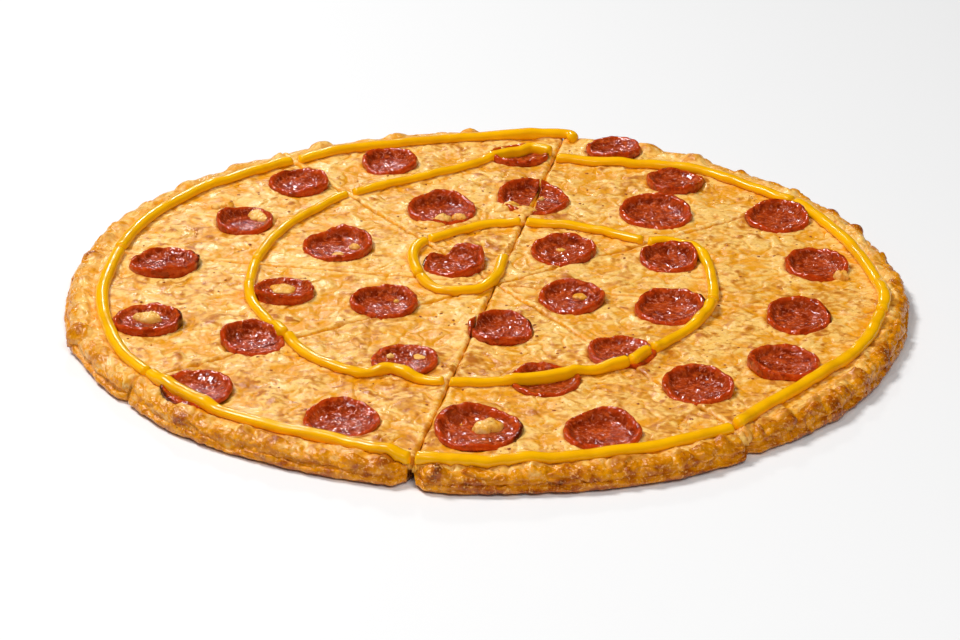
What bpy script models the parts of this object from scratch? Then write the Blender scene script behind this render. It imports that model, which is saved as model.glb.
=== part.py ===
"""Thin-crust pepperoni pizza, cut into eight slices, with a spiral bead of mustard piped on it.

The origin is the middle of the underside and +Z is up. Each slice is a solid of dough and a
solid of cheese; the slices are drawn out along their middle lines, which opens the cuts.
"""

import math

import bmesh
import bpy
from mathutils import Vector

# Driving dimensions, in metres.
MM = 0.001
RADIUS = 0.178
SLICE_COUNT = 8
SLICE_ANGLE = 2.0 * math.pi / SLICE_COUNT
FIRST_CUT = math.radians(34.6)
CUT_CENTRE = Vector((3.6 * MM, -0.3 * MM, 0.0))
CUT_GAP = 0.8 * MM
CLEARANCE = 0.4 * MM
STEPS_PER_SLICE = 12

DOUGH_TOP = 5.2 * MM
CHEESE_TOP = 8.5 * MM
RIM_SLOPE_FOOT = 15.0 * MM
RIM_SLOPE_HEAD = 9.5 * MM
RIM_HEIGHT = 9.3 * MM
RIM_SLOPE_TOP = 8.6 * MM
CHEESE_EDGE = 10.3 * MM

PEPPERONI_HEIGHT = 2.7 * MM
PEPPERONI_SIDES = 12
FLAT_SHARE = 0.80
# A sausage slice from the widest part of its wall, over the rim and down to the cup's floor, as
# shares of its radius and of its height.
PEPPERONI_SECTION = [(1.0, 0.55), (0.99, 1.0), (0.90, 0.96), (0.74, 0.45)]
RIM_SHARE = 0.9
# How far round its middle a sausage slice has to clear what it lies on, as a share of its
# diameter.
SEAT_SHARE = 0.55

MUSTARD_WIDTH = 5.6 * MM
MUSTARD_HEIGHT = 3.9 * MM
MUSTARD_SIDES = 6
MUSTARD_STEP = 10.0 * MM
CURVE_STEPS = 20
# The bead clears the sausage within the first distance of its route, and the cheese and the rim
# within the second.
SAUSAGE_REACH = 4.0 * MM
CRUST_REACH = 8.5 * MM
SAUSAGE_MARGIN = 1.5 * MM

# How far each slice's crust reaches past the round outline, from the back right anticlockwise.
SLICE_REACH = [0.0, 0.5 * MM, 0.0, 0.8 * MM, -1.2 * MM, 2.0 * MM, 0.3 * MM, 0.0]

# Each slice of sausage: the place of its middle and its diameter, in millimetres.
PEPPERONI = [
    (-46, 135, 26), (-86, 108, 27), (-108, 63, 26), (-139, 17, 30), (-141, -43, 29),
    (-115, -109, 29), (-56, -133, 31), (-3, -141, 34), (46, -142, 30), (85, -101, 29),
    (121, -78, 30), (130, -33, 28), (142, 21, 28), (129, 74, 29), (85, 115, 27),
    (58, 153, 26), (14, 147, 27), (-21, 79, 30), (-65, 37, 30), (-86, -11, 27),
    (-96, -61, 27), (-43, -23, 28), (-33, -79, 27), (6, -48, 28), (24, -96, 28),
    (55, -69, 28), (77, -25, 31), (36, -16, 28), (79, 27, 26), (75, 78, 32),
    (33, 34, 28), (-14, 20, 28), (20, 93, 33),
]
# The sausage slices that a cut goes through, and the number of that cut.
CUT_PEPPERONI = {21: 4, 24: 5, 33: 1}
CUT_CLEARANCE = 0.6 * MM

# The bead of mustard, clockwise from its start near the middle: the points it goes through,
# in millimetres. It breaks where the pieces meet.
MUSTARD = {
    "centre": [(7, 26), (3, 3), (-6, -9), (-22, -7), (-31, 14), (-31, 37), (-18, 50), (0, 63),
               (23, 64), (49, 57), (68, 45)],
    "inner_right": [(71, 42), (79, 45), (87, 40), (94, 27), (96, 6), (95, -19), (87, -41),
                    (70, -67)],
    "inner_front": [(64, -70), (58, -80), (46, -86), (38, -89), (24, -95), (4, -99),
                    (-16, -100), (-29, -95), (-38, -90), (-52, -91), (-68, -80), (-80, -61)],
    "inner_left": [(-84, -59), (-98, -25), (-101, -1), (-98, 31), (-88, 60), (-68, 91)],
    "ramp": [(-62, 95), (-45, 109), (-20, 124), (6, 145), (14, 149), (24, 150)],
    "outer_right": [(30, 143), (52, 137), (79, 134), (100, 125), (122, 107), (142, 85),
                    (156, 52), (164, 21), (168, -12), (163, -36), (152, -65), (126, -100),
                    (107, -123), (99, -136)],
    "outer_front": [(90, -143), (54, -159), (4, -170), (-28, -168), (-58, -152), (-94, -135),
                    (-124, -109), (-148, -75), (-161, -29), (-162, 8), (-154, 57),
                    (-133, 97), (-102, 127), (-92, 134)],
    "outer_back": [(-83, 140), (-58, 153), (-32, 161), (0, 167), (34, 170), (40, 164)],
}


def clear_scene():
    for old in list(bpy.data.objects):
        bpy.data.objects.remove(old, do_unlink=True)


def material(name, colour, roughness):
    made = bpy.data.materials.new(name)
    made.use_nodes = True
    shader = made.node_tree.nodes["Principled BSDF"]
    shader.inputs["Base Color"].default_value = (*colour, 1.0)
    shader.inputs["Roughness"].default_value = roughness
    shader.inputs["Metallic"].default_value = 0.0
    return made


def face_outwards(bm):
    bmesh.ops.recalc_face_normals(bm, faces=bm.faces[:])
    if bm.calc_volume(signed=True) < 0.0:
        bmesh.ops.reverse_faces(bm, faces=bm.faces[:])


def outline_radius(angle):
    """Distance from the cuts' meeting point to the uneven round outline, at this angle."""
    along = CUT_CENTRE.x * math.cos(angle) + CUT_CENTRE.y * math.sin(angle)
    to_circle = -along + math.sqrt(RADIUS**2 - CUT_CENTRE.length_squared + along**2)
    lobes = 0.6 * math.sin(5 * angle + 0.6) + 0.5 * math.sin(11 * angle + 2.0) - 0.8
    return to_circle + lobes * MM


def rim_lift(angle, inset):
    """How much the rim swells above its plain height, fading out towards the cheese."""
    fade = min(1.0, max(0.0, (RIM_SLOPE_FOOT - inset) / RIM_SLOPE_HEAD))
    swell = 0.35 * math.sin(7 * angle + 1.0) + 0.25 * math.sin(13 * angle)
    return fade * swell * MM


def slope_height(inset):
    """Height of the dough's top at this distance in from its edge."""
    rise = (RIM_SLOPE_FOOT - inset) / (RIM_SLOPE_FOOT - RIM_SLOPE_HEAD)
    return DOUGH_TOP + (RIM_SLOPE_TOP - DOUGH_TOP) * min(1.0, max(0.0, rise))


def support_height(x, y):
    """Height of the cheese or the rim under a point."""
    offset = Vector((x, y, 0.0)) - CUT_CENTRE
    angle = math.atan2(offset.y, offset.x)
    inset = outline_radius(angle) - offset.length
    if inset > RIM_SLOPE_FOOT:
        return CHEESE_TOP
    return max(CHEESE_TOP + 0.5 * MM, RIM_HEIGHT) + rim_lift(angle, inset)


# Both profiles are (distance in from the edge, height), round from the bottom at the middle.
DOUGH_PROFILE = [
    (3.2 * MM, 0.0),
    (1.0 * MM, 1.2 * MM),
    (0.0, 3.8 * MM),
    (0.5 * MM, 6.2 * MM),
    (2.4 * MM, 8.4 * MM),
    (5.8 * MM, RIM_HEIGHT),
    (RIM_SLOPE_HEAD, RIM_SLOPE_TOP),
    (RIM_SLOPE_FOOT, DOUGH_TOP),
]
CHEESE_PROFILE = [
    (RIM_SLOPE_FOOT, DOUGH_TOP + CLEARANCE),
    (CHEESE_EDGE, slope_height(CHEESE_EDGE) + CLEARANCE),
    (CHEESE_EDGE - 0.1 * MM, RIM_SLOPE_TOP + CLEARANCE),
    (RIM_SLOPE_FOOT, CHEESE_TOP + 0.2 * MM),
    (2.0 * RIM_SLOPE_FOOT, CHEESE_TOP),
]


def slice_mesh(name, index, profile):
    """A profile turned through one slice's angle about the cuts' meeting point."""
    bottom = profile[0][1]
    top = profile[-1][1]
    bm = bmesh.new()
    ring = [bm.verts.new((0.0, 0.0, bottom))]
    ring += [bm.verts.new((RADIUS - inset, 0.0, height)) for inset, height in profile]
    ring.append(bm.verts.new((0.0, 0.0, top)))
    chain = [bm.edges.new((a, b)) for a, b in zip(ring, ring[1:])]
    bm.faces.new(ring)
    spun = bmesh.ops.spin(
        bm, geom=ring + chain, cent=(0.0, 0.0, 0.0), axis=(0.0, 0.0, 1.0),
        angle=SLICE_ANGLE, steps=STEPS_PER_SLICE, use_merge=False, use_duplicate=False,
    )
    far_edges = [part for part in spun["geom_last"] if isinstance(part, bmesh.types.BMEdge)]
    last = order_chain(far_edges)
    bm.faces.new(last)
    bmesh.ops.remove_doubles(bm, verts=bm.verts[:], dist=1e-6)

    first_angle = FIRST_CUT + index * SLICE_ANGLE
    middle = first_angle + SLICE_ANGLE / 2.0
    draw_out = CUT_GAP / 2.0 / math.sin(SLICE_ANGLE / 2.0)
    shift = CUT_CENTRE + draw_out * Vector((math.cos(middle), math.sin(middle), 0.0))
    for vert in bm.verts:
        radius = math.hypot(vert.co.x, vert.co.y)
        angle = math.atan2(vert.co.y, vert.co.x) + first_angle
        inset = RADIUS - radius
        edge = outline_radius(angle) + SLICE_REACH[index] * reach_fade(angle - middle)
        if vert.co.z > DOUGH_TOP and radius > 0.0:
            vert.co.z += rim_lift(angle, inset)
        reach = radius * edge / RADIUS
        vert.co.x = shift.x + reach * math.cos(angle)
        vert.co.y = shift.y + reach * math.sin(angle)
    face_outwards(bm)
    mesh = bpy.data.meshes.new(name)
    bm.to_mesh(mesh)
    bm.free()
    return mesh


def order_chain(edges):
    """The corners of a chain of edges, in order from one end to the other."""
    links = {}
    for edge in edges:
        for vert in edge.verts:
            links.setdefault(vert, []).append(edge)
    corner = next(vert for vert in links if len(links[vert]) == 1)
    ordered = [corner]
    used = set()
    while len(used) < len(edges):
        edge = next(link for link in links[corner] if link not in used)
        used.add(edge)
        corner = edge.other_vert(corner)
        ordered.append(corner)
    return ordered


def reach_fade(from_middle):
    """A slice's reach is whole over most of its rim and smaller at its corners."""
    return 1.0 - 0.3 * (abs(from_middle) / (SLICE_ANGLE / 2.0)) ** 4


def add_object(name, mesh, finish):
    made = bpy.data.objects.new(name, mesh)
    made.data.materials.append(finish)
    bpy.context.scene.collection.objects.link(made)
    return made


def make_slices(dough_finish, cheese_finish):
    for index in range(SLICE_COUNT):
        dough = slice_mesh(f"dough_slice_{index + 1}", index, DOUGH_PROFILE)
        add_object(dough.name, dough, dough_finish)
        cheese = slice_mesh(f"cheese_slice_{index + 1}", index, CHEESE_PROFILE)
        add_object(cheese.name, cheese, cheese_finish)


def pepperoni_seat(x, y, diameter):
    """Height at which a slice of sausage rests, clear of the cheese and the rim."""
    heights = [support_height(x, y)]
    for step in range(24):
        angle = math.tau * step / 24
        reach = SEAT_SHARE * diameter
        heights.append(support_height(x + reach * math.cos(angle), y + reach * math.sin(angle)))
    return max(heights) + CLEARANCE


def pepperoni_bmesh(number, x, y, diameter):
    """A shallow cup with a raised, slightly wavy rim."""
    radius = diameter / 2.0
    seat = pepperoni_seat(x, y, diameter)
    bm = bmesh.new()
    bmesh.ops.create_circle(
        bm, cap_ends=True, cap_tris=False, segments=PEPPERONI_SIDES, radius=FLAT_SHARE * radius
    )
    floor = bm.faces[:]
    for number_of_step, (reach, height) in enumerate(PEPPERONI_SECTION):
        grown = bmesh.ops.extrude_face_region(bm, geom=floor)
        if number_of_step > 0:
            bmesh.ops.delete(bm, geom=floor, context="FACES_ONLY")
        corners = [part for part in grown["geom"] if isinstance(part, bmesh.types.BMVert)]
        floor = [part for part in grown["geom"] if isinstance(part, bmesh.types.BMFace)]
        for corner in corners:
            angle = math.atan2(corner.co.y, corner.co.x)
            wave = 1.0 + 0.04 * math.sin(2 * angle + number) + 0.02 * math.sin(3 * angle)
            dip = 1.0 + 0.10 * math.sin(2 * angle + 1.7 * number) if height > RIM_SHARE else 1.0
            corner.co = Vector((
                radius * reach * wave * math.cos(angle),
                radius * reach * wave * math.sin(angle),
                PEPPERONI_HEIGHT * height * dip,
            ))
    bmesh.ops.poke(bm, faces=floor, offset=0.0)
    bmesh.ops.translate(bm, vec=(x, y, seat), verts=bm.verts[:])
    face_outwards(bm)
    return bm


def keep_side(bm, cut, side):
    """Keeps what lies on one side of a cut, and closes it there."""
    angle = FIRST_CUT + cut * SLICE_ANGLE
    across = Vector((-math.sin(angle), math.cos(angle), 0.0)) * side
    bmesh.ops.triangulate(bm, faces=bm.faces[:])
    bmesh.ops.bisect_plane(
        bm, geom=bm.verts[:] + bm.edges[:] + bm.faces[:], dist=1e-7,
        plane_co=CUT_CENTRE + across * CUT_CLEARANCE, plane_no=-across, clear_outer=True,
    )
    open_edges = [edge for edge in bm.edges if edge.is_boundary]
    bmesh.ops.holes_fill(bm, edges=open_edges, sides=0)
    face_outwards(bm)


def make_pepperoni(finish):
    for number, (x, y, diameter) in enumerate(PEPPERONI, start=1):
        sides = {"": 0}
        if number in CUT_PEPPERONI:
            sides = {"_a": 1, "_b": -1}
        for letter, side in sides.items():
            bm = pepperoni_bmesh(number, x * MM, y * MM, diameter * MM)
            if side:
                keep_side(bm, CUT_PEPPERONI[number], side)
            mesh = bpy.data.meshes.new(f"pepperoni_{number:02d}{letter}")
            bm.to_mesh(mesh)
            bm.free()
            mesh.shade_smooth()
            mesh.set_sharp_from_angle(angle=math.radians(40))
            add_object(mesh.name, mesh, finish)


def smooth_route(points):
    """Evenly spaced points on a smooth curve through the given ones."""
    knots = [Vector((x * MM, y * MM)) for x, y in points]
    knots = [2 * knots[0] - knots[1]] + knots + [2 * knots[-1] - knots[-2]]
    fine = []
    for before, start, end, after in zip(knots, knots[1:], knots[2:], knots[3:]):
        for step in range(CURVE_STEPS):
            t = step / CURVE_STEPS
            fine.append(0.5 * (
                2 * start + (end - before) * t
                + (2 * before - 5 * start + 4 * end - after) * t**2
                + (3 * start - before - 3 * end + after) * t**3
            ))
    fine.append(knots[-2])
    length = sum((b - a).length for a, b in zip(fine, fine[1:]))
    count = max(2, round(length / MUSTARD_STEP))
    route = [fine[0]]
    walked = 0.0
    for a, b in zip(fine, fine[1:]):
        walked += (b - a).length
        if walked >= len(route) * length / count - 1e-9:
            route.append(b)
    if (route[-1] - fine[-1]).length > 1e-6:
        route[-1] = fine[-1]
    return route


def bead_seat(point):
    """Height of whatever the bead lies on, all round a point on its route."""
    heights = []
    for reach in (0.0, SAUSAGE_REACH, CRUST_REACH):
        for step in range(16):
            angle = math.tau * step / 16
            x = point.x + reach * math.cos(angle)
            y = point.y + reach * math.sin(angle)
            height = support_height(x, y)
            for px, py, diameter in PEPPERONI:
                distance = math.hypot(x - px * MM, y - py * MM)
                if reach <= SAUSAGE_REACH and distance < diameter / 2.0 * MM + SAUSAGE_MARGIN:
                    seat = pepperoni_seat(px * MM, py * MM, diameter * MM)
                    height = max(height, seat + 1.1 * PEPPERONI_HEIGHT)
            heights.append(height)
    return max(heights) + CLEARANCE


def mustard_section():
    """The bead's section, flat below and round above, as a guide curve."""
    outline = bpy.data.curves.new("mustard_section", "CURVE")
    outline.dimensions = "2D"
    spline = outline.splines.new("POLY")
    spline.points.add(MUSTARD_SIDES - 1)
    for step, point in enumerate(spline.points):
        angle = -math.tau * step / MUSTARD_SIDES
        height = MUSTARD_HEIGHT / 2.0 * (1.0 + math.sin(angle))
        point.co = (MUSTARD_WIDTH / 2.0 * math.cos(angle), height, 0.0, 1.0)
    spline.use_cyclic_u = True
    guide = bpy.data.objects.new("mustard_section", outline)
    guide.hide_render = True
    guide.display_type = "WIRE"
    bpy.context.scene.collection.objects.link(guide)
    return guide


def make_mustard(finish):
    section = mustard_section()
    for piece, points in MUSTARD.items():
        route = smooth_route(points)
        bead = bpy.data.curves.new(f"mustard_{piece}", "CURVE")
        bead.dimensions = "3D"
        bead.twist_mode = "Z_UP"
        bead.bevel_mode = "OBJECT"
        bead.bevel_object = section
        bead.use_fill_caps = True
        spline = bead.splines.new("POLY")
        spline.points.add(len(route) - 1)
        for point, place in zip(spline.points, route):
            point.co = (place.x, place.y, bead_seat(place), 1.0)
        add_object(bead.name, bead, finish)


def main():
    clear_scene()
    dough = material("baked_dough", (0.62, 0.34, 0.13), 0.7)
    cheese = material("melted_cheese", (0.80, 0.50, 0.15), 0.4)
    sausage = material("pepperoni", (0.30, 0.03, 0.012), 0.35)
    sauce = material("mustard", (0.85, 0.42, 0.01), 0.3)
    make_slices(dough, cheese)
    make_pepperoni(sausage)
    make_mustard(sauce)


main()
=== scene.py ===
"""The looks of a thin-crust pepperoni pizza, cut into eight slices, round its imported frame.

Each slice is a lumpy baked crust with a sheet of melted cheese on it. Cups of pepperoni sit
in the cheese, and a bead of mustard is piped over them in a spiral, broken at the cuts.
"""

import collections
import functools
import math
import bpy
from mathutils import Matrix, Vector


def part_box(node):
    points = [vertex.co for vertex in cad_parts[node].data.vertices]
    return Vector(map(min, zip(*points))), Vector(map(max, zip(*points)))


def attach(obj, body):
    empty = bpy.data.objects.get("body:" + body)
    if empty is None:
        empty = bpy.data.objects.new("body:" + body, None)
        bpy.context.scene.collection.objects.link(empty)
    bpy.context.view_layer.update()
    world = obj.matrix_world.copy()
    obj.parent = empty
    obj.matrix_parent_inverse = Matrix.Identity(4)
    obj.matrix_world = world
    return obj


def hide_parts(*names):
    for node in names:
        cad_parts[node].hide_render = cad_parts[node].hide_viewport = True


bl_info = {
    "name": "Pepperoni Pizza",
    "version": (1, 0, 0),
    "blender": (4, 5, 0),
    "location": "View3D > Sidebar > Pizza",
    "description": "Builds the crust, cheese, pepperoni and mustard of a sliced pizza",
    "category": "Object",
}

import bmesh
import bpy
import numpy as np
from bmesh.types import BMEdge, BMVert
from mathutils import Matrix, Vector

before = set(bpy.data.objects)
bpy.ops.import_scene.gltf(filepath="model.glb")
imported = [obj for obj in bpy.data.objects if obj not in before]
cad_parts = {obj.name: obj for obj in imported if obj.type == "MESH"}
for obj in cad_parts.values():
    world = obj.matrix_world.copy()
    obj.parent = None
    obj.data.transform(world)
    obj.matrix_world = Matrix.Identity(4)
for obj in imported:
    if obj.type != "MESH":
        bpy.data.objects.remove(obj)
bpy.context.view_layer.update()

MM = 0.001
RADIUS = 178 * MM
SLICE_COUNT = 8
SLICE_ANGLE = math.tau / SLICE_COUNT
FIRST_CUT = math.radians(34.6)
CUT_CENTRE = np.array((3.6, -0.3)) * MM
CRUST_GAP = 0.8 * MM
BODY = "root"

# The crust's section, as (distance in from the edge, height) in millimetres, from the middle
# of the underside out round the edge and back in under the cheese.
CRUST_SECTION = [
    (18.0, 0.0), (8.0, 0.0), (2.6, 0.1), (0.5, 0.8), (-0.3, 2.0), (0.4, 3.1), (1.6, 3.8),
    (1.2, 4.8), (1.3, 6.2), (2.2, 7.7), (3.8, 8.8), (5.8, 9.2), (8.5, 8.8), (11.0, 7.7),
    (15.0, 5.3), (18.0, 5.2),
]
CRUST_TOP_INSET = 5.8 * MM
CRUST_GRAIN = 0.5 * MM
CRUST_STEPS = 230
BASE_HEIGHT = 5.2 * MM
CREASE_RUN = 9.0 * MM
ROUGHEST = math.radians(300.0)

CHEESE_HEIGHT = 8.5 * MM
CHEESE_GRAIN = 0.55 * MM
# How long a slice's sheet of cheese is before it is cut to shape, and how far from the middle
# there are blisters, browned marks and specks.
CHEESE_SHEET = 182 * MM
BLISTER_COUNT = 230
BLISTER_REACH = 158 * MM
MARK_PATCHES = 80
MARK_REACH = 155 * MM
SPECK_REACH = 160 * MM

# Swellings of the crust: angle in degrees, distance down the outside from the crest,
# radius and height in millimetres, and how toasted they are.
KNOBS = [
    (172, 0, 5, 2.4, 0.95), (166, 0, 4.5, 2, 0.75), (161, 1, 5, 1.8, 0.4), (180, 0, 3.5, 1.4, 0.7),
    (197, 4, 6.5, 4.4, 0.35), (189, 0, 6, 1.4, 0.2), (206, 0, 6, 1.6, 0.1), (215, 1, 5, 1.3, 0.25),
    (226, 2, 7, 1.4, 0.1), (66, 1, 8, 2.6, 0.2), (57, 1, 8, 2.6, 0.25), (49, 3, 4.5, 1.8, 0.8),
    (85, 1, 4, 1.6, 0.6), (94, 1, 5, 2.2, 0.3), (106, 1, 7, 2.6, 0.25), (118, 1, 7, 2.3, 0.2),
    (125, 1, 4, 1.6, 0.6), (133, 2, 5, 1.4, 0.5), (143, 1, 7, 1.8, 0.2), (152, 2, 5, 1.6, 0.5),
    (38, 2, 6, 1.6, 0.3), (29, 3, 4, 1.6, 0.9), (22, 3, 4, 1.4, 0.9), (12, 1, 6, 1.4, 0.3),
    (2, 2, 5, 1.4, 0.4), (350, 2, 6, 1.4, 0.2), (338, 3, 5, 1.2, 0.5), (325, 1, 7, 1.5, 0.2),
    (312, 2, 5, 1.5, 0.3), (298, 1, 6, 1.5, 0.2), (286, 3, 5, 1, 0.3), (275, 0, 3, 1, 0.3),
    (262, 1, 7, 1.6, 0.15), (252, 2, 6, 1.4, 0.2), (241, 1, 5, 1.5, 0.35), (318, 1, 3.5, 2.2, 0.5),
    (307, 1, 3, 1.8, 0.5), (301, 0, 3.5, 1.8, 0.4), (322, 2, 3, 1.6, 0.3), (256, 2, 3.5, 2, 0.45),
    (263, 3, 3.5, 2.2, 0.6), (248, 2, 3, 1.4, 0.4), (330, 1, 3.5, 1.6, 0.4), (236, 1, 3, 1.6, 0.3),
    (229, 0, 3, 1.5, 0.35),
]

# How worn the crust's corners are at a cut: width in millimetres and depth. The crust draws
# back from a cut deeper than WORN_OPEN, by NOTCH_GAP for each 1 of depth past it.
WORN = (3.2, 1.0)
NOTCHES = {5: (7.5, 2.4), 4: (5.0, 1.4), 6: (5.5, 1.5)}
WORN_OPEN = 1.5
NOTCH_GAP = 2.0 * MM

# The side where each sausage slice's rim is highest, in degrees, and by how much. Those in
# PINCH are also pinched down on a side, and the next table darkens the side at its angle with
# painted shade.
LEAN = [
    (60, 0.3), (20, 0.25), (140, 0.3), (300, 0.3), (330, 0.25), (80, 0.4), (100, 0.35), (110, 0.4),
    (75, 0.45), (80, 0.45), (200, 0.2), (110, 0.6), (90, 0.3), (80, 0.4), (250, 0.2), (270, 0.2),
    (265, 0.3), (110, 0.45), (45, 0.4), (268, 0.4), (130, 0.55), (100, 0.3), (60, 0.3),
    (150, 0.25), (100, 0.3), (150, 0.3), (60, 0.3), (60, 0.4), (85, 0.4), (90, 0.5), (60, 0.3),
    (20, 0.5), (120, 0.35),
]
PINCH = {32: (112, 0.9), 29: (215, 0.5), 13: (300, 0.6), 22: (235, 0.5), 31: (240, 0.6),
         21: (200, 0.5), 12: (180, 0.3), 9: (300, 0.4), 28: (330, 0.4)}
SHADED_SIDES = {8: 350, 4: 20, 12: 10, 17: 10, 6: 200, 24: 30, 32: 180, 14: 40, 5: 5, 27: 10}

# Folds in a sausage slice's floor: place from its middle, radius and height, in millimetres.
FOLDS = {
    4: (5, 5.5, 4.5, 1.5), 7: (2, 8, 3.5, 1.3), 8: (-8, 7, 4.0, 1.6),
    9: (0, 4, 3.5, 0.8), 11: (-9, 1, 2.8, 1.5), 12: (-3, 4, 5.0, 0.9),
    17: (-6, 6, 3.0, 1.0), 18: (2, -1, 4.0, 0.9), 21: (-2, 5, 4.0, 1.4),
    23: (-6, 5, 3.0, 1.0), 24: (-4, -1, 4.0, 0.8), 28: (3, 4, 4.5, 1.2),
    31: (-3, 2, 4.5, 1.2), 32: (6, 2, 4.5, 1.3), 33: (-7, 4, 3.5, 1.2),
}
# The mustard presses these down, to this share of their height.
CROSSED = (6, 7, 16, 17, 23, 25, 26)
PRESSED = 0.72
CUP_STEPS = 112
CUP_GRAIN = 0.45 * MM

# Where cuts go through a slice of sausage: its number, the number of the cut, half the gap in
# millimetres, and how far each side turns away, in degrees.
CUT_PEPPERONI = {21: (4, 0.5, 0), 24: (5, 0.5, 0), 33: (1, 1.3, 3)}

# Melted cheese lying on the sausage: its number, the blob's place from the sausage's middle,
# its radius and its height, in millimetres.
CHEESE_BLOBS = [
    (5, 1, 4, 5.2, 3.2), (5, -3, 5, 3.2, 2.4), (20, 0, 4, 5.0, 1.6), (20, -3, 5, 3.0, 1.5),
    (8, 5, 4, 5.5, 3.4), (8, 2, 1, 3.5, 2.4), (3, 6, 9, 5.5, 2.6), (3, 10, 5, 4.5, 2.2),
    (18, 1, -9, 3.8, 3.0), (18, 8, -7, 3.5, 2.2), (18, -4, -13, 6.0, 1.6),
    (19, 7, 1, 2.6, 1.6), (19, 0, -7, 2.8, 1.2), (22, 5, 4, 1.3, 1.1), (23, -6, 6, 1.8, 1.3),
    (23, 7, 6, 3.6, 1.0), (28, 5, 3, 1.8, 1.2), (28, 3, 5, 3.0, 0.9), (13, 10, -10, 3.2, 3.0),
    (33, -12, -9, 6.5, 2.8), (33, -4, -13, 5.0, 2.2), (17, -8, 8, 1.8, 1.5),
    (33, 4, 2, 1.2, 1.2), (31, -1, 4, 2.0, 0.8), (3, -9, 18, 3.0, 1.7), (3, -14, 17, 2.2, 1.3),
]

# The mustard's route, in millimetres, clockwise from its start near the middle.
MUSTARD = {
    "centre": [(7, 26), (3, 3), (-6, -9), (-22, -7), (-31, 14), (-31, 37), (-18, 50), (0, 63),
               (23, 64), (49, 57), (68, 45)],
    "inner_right": [(70, 43.5), (79, 45), (87, 40), (94, 27), (96, 6), (95, -19), (87, -41),
                    (68.5, -67.5)],
    "inner_front": [(67, -68.5), (64, -71), (58, -80), (46, -86), (38, -89), (24, -95), (4, -99),
                    (-16, -100), (-29, -95), (-38, -90), (-52, -91), (-68, -80), (-81.5, -60.5)],
    "inner_left": [(-83, -58.5), (-98, -25), (-101, -1), (-98, 31), (-88, 60), (-70, 89),
                   (-63.5, 94.5)],
    "ramp": [(-61, 96.5), (-45, 109), (-20, 124), (6, 145), (14, 149), (20, 153), (29, 147.5)],
    "outer_right": [(31, 142.5), (52, 137), (79, 134), (100, 125), (122, 107), (142, 85),
                    (156, 52), (164, 21), (168, -12), (163, -36), (152, -65), (126, -100),
                    (107, -123), (98.5, -137)],
    "outer_front": [(96.5, -139.5), (88, -144), (54, -159), (4, -170), (-28, -168), (-58, -152),
                    (-94, -135), (-124, -109), (-148, -75), (-161, -29), (-162, 8), (-154, 57),
                    (-133, 97), (-102, 127), (-91, 134.5)],
    "outer_back": [(-88, 136.5), (-80, 142), (-58, 153), (-32, 161), (0, 167), (34, 170),
                   (40, 164)],
}
BEAD_SHARE = {"centre": 0.90, "inner_right": 0.90, "inner_front": 0.90, "inner_left": 0.84,
              "ramp": 0.86}
BEAD_STEP = 0.8 * MM
BEAD_SIDES = 16
BEAD_NOSE = 1.1 * MM
# The bead isn't broken near the middle or near its own ends, and a length no longer than the
# last of these is left out. The last three are in steps of the bead.
UNBROKEN_REACH = 18 * MM
FIRST_BREAK, LAST_BREAK = 10, 12
SHORTEST_LENGTH = 6

# The lights: place and size in metres, and power in watts. The fill doesn't show in the wet
# surfaces, and the room is paler to the camera than the light that it gives.
LIGHTS = {
    "key": ((-1.1, 0.6, 1.9), 0.55, 38.0), "fill": ((0.4, -1.3, 1.5), 0.9, 14.5),
    "glint": ((-0.3, 2.0, 1.0), 0.12, 4.0), "spark": ((-0.7, -1.0, 1.6), 0.14, 3.2),
}
ROOM_LIGHT = 0.16
ROOM_SEEN = 0.6
FLOOR_SIZE = 6.0
FLOOR_COLOUR = (0.9, 0.9, 0.9)

# The camera: what it looks at, in millimetres, its distance in metres and its turns in degrees:
# about the upright axis, up from looking straight down, and about its own axis.
CAMERA_TARGET = (-2.7, -37.0, 8.5)
CAMERA_DISTANCE = 1.432
CAMERA_TURNS = ((0.28, "Z"), (90.0 - 24.6, "X"), (0.5, "Z"))
FOCAL_LENGTH = 128.8


# ---- settings


def length(name, description, default):
    return bpy.props.FloatProperty(
        name=name, description=description, default=default, unit="LENGTH", precision=4
    )


def colour(name, description, default):
    return bpy.props.FloatVectorProperty(
        name=name, description=description, default=default, subtype="COLOR",
        size=3, min=0.0, max=1.0,
    )


class PizzaSizes(bpy.types.PropertyGroup):
    cut_gap: length("Cut gap", "Width of the cuts between slices", 0.5 * MM)
    cheese_relief: length("Cheese relief", "Height of the cheese's soft bumps", 0.85 * MM)
    crust_relief: length("Crust relief", "Height of the crust's lumps", 1.0 * MM)
    cup_depth: length("Cup depth", "How far the pepperoni's rim stands up", 4.1 * MM)
    bead_width: length("Bead width", "Width of the bead of mustard", 5.5 * MM)
    bead_height: length("Bead height", "Height of the bead of mustard", 3.8 * MM)
    crumbs: bpy.props.IntProperty(
        name="Crumbs", description="How many toasted specks lie on the cheese", default=300
    )


class PizzaColours(bpy.types.PropertyGroup):
    cream: colour("Cream", "Pale melted cheese", (0.98, 0.59, 0.15))
    gold: colour("Gold", "Golden cheese in the hollows", (0.84, 0.34, 0.004))
    toasted: colour("Toasted", "Toasted cheese and crust", (0.38, 0.065, 0.0))
    dough: colour("Dough", "Pale baked dough", (0.88, 0.46, 0.11))
    tan: colour("Tan", "Golden crust", (0.84, 0.31, 0.0))
    sausage: colour("Sausage", "Floor of the pepperoni cups", (0.40, 0.046, 0.006))
    rim: colour("Rim", "Rim of the pepperoni cups", (0.52, 0.046, 0.002))
    mustard: colour("Mustard", "The bead of mustard", (1.0, 0.49, 0.0))


def sizes():
    return bpy.context.scene.pizza_sizes


def colours():
    return bpy.context.scene.pizza_colours


# ---- shape functions


def smooth(low, high, value):
    """0 below low, 1 above high and an S-shaped rise between."""
    t = np.clip((value - low) / (high - low), 0.0, 1.0)
    return t * t * (3.0 - 2.0 * t)


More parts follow.
